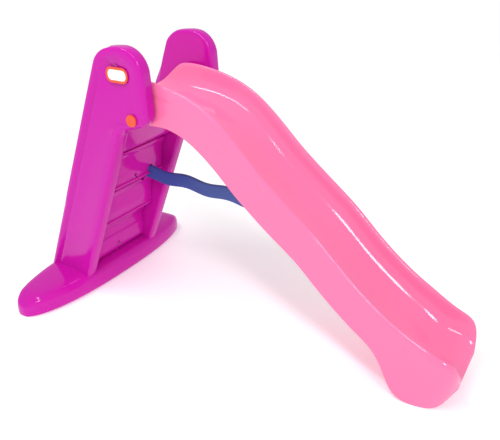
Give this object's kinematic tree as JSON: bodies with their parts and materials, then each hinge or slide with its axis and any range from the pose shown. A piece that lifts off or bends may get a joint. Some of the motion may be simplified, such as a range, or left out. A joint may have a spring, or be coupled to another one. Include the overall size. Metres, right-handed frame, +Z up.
{
  "type": "toddler slide",
  "caption": "Folding toddler slide: curved blow-moulded chute pivoted between two side panels with closed steps, on a wide boat-shaped base, with a wavy brace bar.",
  "frame": {"origin": "on the ground, midway between the base's rear edge and the chute's nose, on the plane of symmetry", "axes": "+X from the steps towards the chute's exit, +Y to the rider's left, +Z up"},
  "size_m": [1.73, 0.9612, 1.0429],
  "materials": {
    "purple_plastic": "glossy moulded polyethylene, faint orange-peel texture",
    "pink_plastic": "glossy moulded polyethylene, smooth on the bed",
    "blue_plastic": "satin moulded plastic",
    "orange_plastic": "glossy injection-moulded plastic",
    "badge_white": "printed label film, blank face",
    "zinc_steel": "zinc-plated steel",
    "nylon_white": "natural nylon"
  },
  "bodies": {
    "chute": {"chute": "pink_plastic", "catch_bracket": "zinc_steel", "catch_pin": "zinc_steel", "catch_screw_upper": "zinc_steel", "catch_screw_lower": "zinc_steel"},
    "ladder": {"base": "purple_plastic", "left_side_panel": "purple_plastic", "right_side_panel": "purple_plastic", "lower_step": "purple_plastic", "middle_step": "purple_plastic", "top_step": "purple_plastic", "head_riser": "purple_plastic", "pivot_pin_left": "orange_plastic", "pivot_pin_right": "orange_plastic", "badge_left": "badge_white", "badge_right": "badge_white", "foot_screw_left_rear": "zinc_steel", "foot_screw_left_front": "zinc_steel", "foot_screw_right_rear": "zinc_steel", "foot_screw_right_front": "zinc_steel", "lower_step_screw": "zinc_steel", "top_step_screw": "zinc_steel", "brace_pin": "zinc_steel", "pivot_washer_left": "nylon_white", "pivot_washer_right": "nylon_white"},
    "brace": {"brace_bar": "blue_plastic"}
  },
  "joints": [
    {"name": "ladder_fold", "type": "hinge", "parent": "chute", "child": "ladder", "pos_m": [-0.297, 0, 0.802], "axis": [0, -1, 0], "range_deg": [0, 65]},
    {"name": "brace_swing", "type": "hinge", "parent": "ladder", "child": "brace", "pos_m": [-0.523, 0.09, 0.47], "axis": [0, 1, 0], "range_deg": [0, 88.4]}
  ],
  "couplings": [
    {"joint": "brace_swing", "follows": "ladder_fold", "ratio": 1.36}
  ]
}
